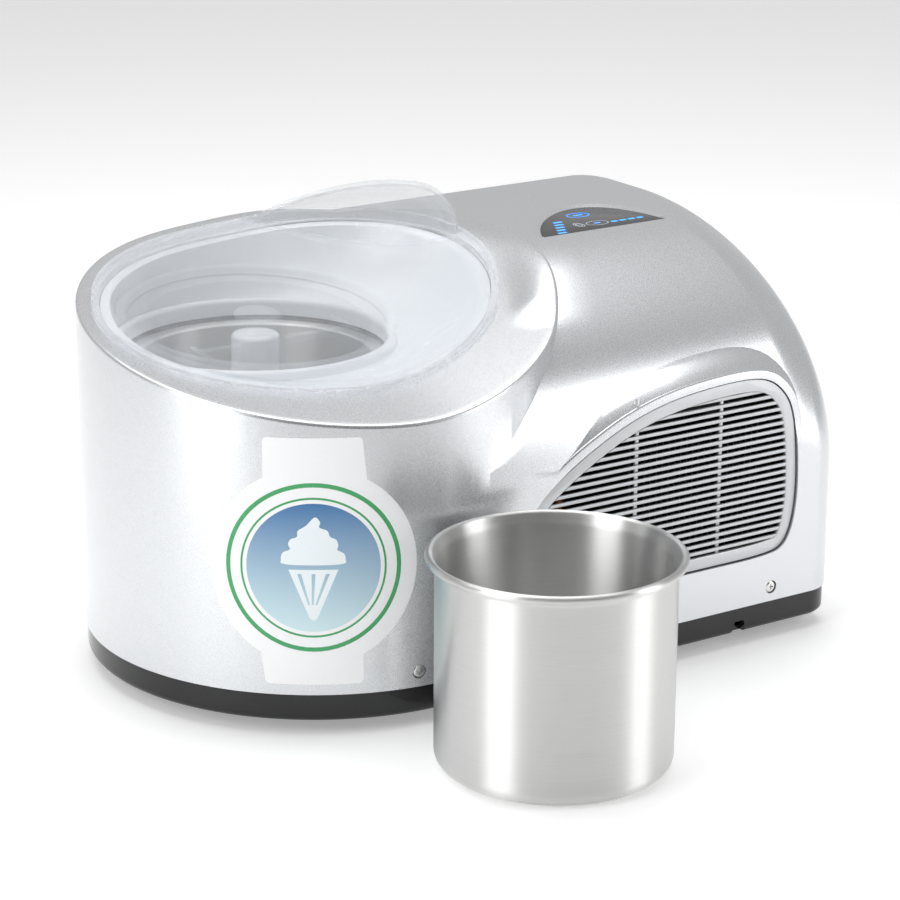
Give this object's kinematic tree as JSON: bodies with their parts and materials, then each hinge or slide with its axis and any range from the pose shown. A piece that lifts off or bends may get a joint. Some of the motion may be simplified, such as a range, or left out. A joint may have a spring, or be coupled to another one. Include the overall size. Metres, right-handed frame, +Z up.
{
  "type": "ice cream maker",
  "caption": "Countertop ice cream maker with a built-in compressor, a clear lid over a motor-driven paddle and bowl, a touch panel, a side grille and a removable steel bowl.",
  "frame": {"origin": "middle of the footprint of the machine and its second bowl, on the table", "axes": "+X from the drum to the condenser end, +Y to the back, +Z up"},
  "size_m": [0.4354, 0.437, 0.27],
  "materials": {
    "casing_silver": "satin",
    "base_black": "gloss",
    "rubber": "matte",
    "plated_steel": "satin",
    "label_film": "satin",
    "grille_silver": "satin",
    "panel_glass": "gloss",
    "light_guides": "gloss",
    "circuit_board": "satin",
    "white_plastic": "satin",
    "bowl_steel": "satin",
    "copper": "satin",
    "foam": "matte",
    "inner_plastic": "satin",
    "motor_steel": "satin",
    "compressor_black": "satin",
    "fin_aluminium": "satin",
    "clear_plastic": "gloss"
  },
  "bodies": {
    "machine": {"base_pan": "base_black", "rubber_feet": "rubber", "casing": "casing_silver", "case_screws": "plated_steel", "label": "label_film", "front_grille": "grille_silver", "rear_grille": "base_black", "control_glass": "panel_glass", "control_lights": "light_guides", "control_board": "circuit_board", "power_board": "circuit_board", "inlet_socket": "base_black", "bowl_surround": "white_plastic", "surround_gasket": "rubber", "fixed_bowl": "bowl_steel", "evaporator_coil": "copper", "foam_jacket": "foam", "lower_bearing": "plated_steel", "upper_bearing": "plated_steel", "shaft_seal": "rubber", "bearing_housing": "inner_plastic", "drive_belt": "rubber", "motor_body": "motor_steel", "motor_bracket": "plated_steel", "compressor": "compressor_black", "compressor_feet": "rubber", "compressor_terminals": "inner_plastic", "condenser": "fin_aluminium", "fan_shroud": "inner_plastic", "fan_motor": "motor_steel", "fan_bracket": "plated_steel", "filter_drier": "copper", "suction_tube": "copper", "discharge_tube": "copper", "capillary_tube": "copper"},
    "paddle_drive": {"drive_shaft": "plated_steel", "large_pulley": "inner_plastic", "paddle": "white_plastic", "paddle_knob": "white_plastic"},
    "motor_drive": {"motor_shaft": "plated_steel", "motor_pulley": "inner_plastic"},
    "fan": {"fan_rotor": "inner_plastic"},
    "lid_body": {"lid": "clear_plastic"},
    "second_bowl": {"removable_bowl": "bowl_steel"}
  },
  "joints": [
    {"name": "paddle_spin", "type": "hinge", "parent": "machine", "child": "paddle_drive", "pos_m": [-0.10825, 0.0935, 0.1], "axis": [0, 0, 1], "continuous": true},
    {"name": "motor_spin", "type": "hinge", "parent": "machine", "child": "motor_drive", "pos_m": [0.02775, 0.082, 0.06], "axis": [0, 0, 1], "continuous": true},
    {"name": "fan_spin", "type": "hinge", "parent": "machine", "child": "fan", "pos_m": [0.11275, -0.026, 0.099], "axis": [0, 1, 0], "continuous": true},
    {"name": "lid_lift", "type": "slide", "parent": "machine", "child": "lid_body", "axis": [0, 0, 1], "range_m": [0, 0.12]},
    {"name": "bowl_lift", "type": "slide", "parent": "machine", "child": "second_bowl", "axis": [0, 0, 1], "range_m": [0, 0.15]}
  ],
  "couplings": [
    {"joint": "motor_spin", "follows": "paddle_spin", "ratio": 4}
  ]
}
